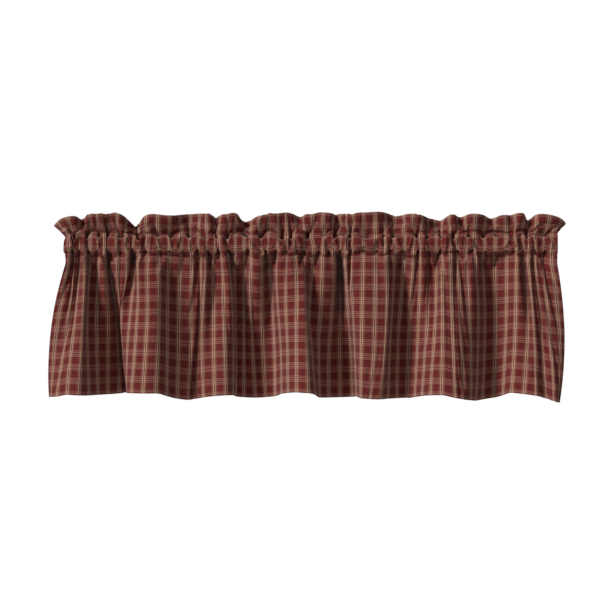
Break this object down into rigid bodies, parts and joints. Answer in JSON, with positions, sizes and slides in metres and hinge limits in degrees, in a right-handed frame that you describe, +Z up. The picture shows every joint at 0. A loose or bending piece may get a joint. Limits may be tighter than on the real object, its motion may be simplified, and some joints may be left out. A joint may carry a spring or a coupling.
{
  "type": "rod-pocket valance curtain",
  "caption": "Gathered rod-pocket valance in burgundy and tan checked cotton, with a ruffled heading above the pocket and a skirt of soft uneven folds below it.",
  "frame": {"origin": "on the axis of the rod pocket, in the middle of the valance's overall width", "axes": "+X to the viewer's right along the rod, +Y to the back, towards the window, +Z up"},
  "size_m": [1.0063, 0.0794, 0.3685],
  "materials": {
    "checked_cotton": "matt plain-woven cotton, burgundy with tan, cream and dark lines"
  },
  "bodies": {
    "root": {"heading": "checked_cotton", "rod_pocket": "checked_cotton", "skirt": "checked_cotton"}
  },
  "joints": []
}
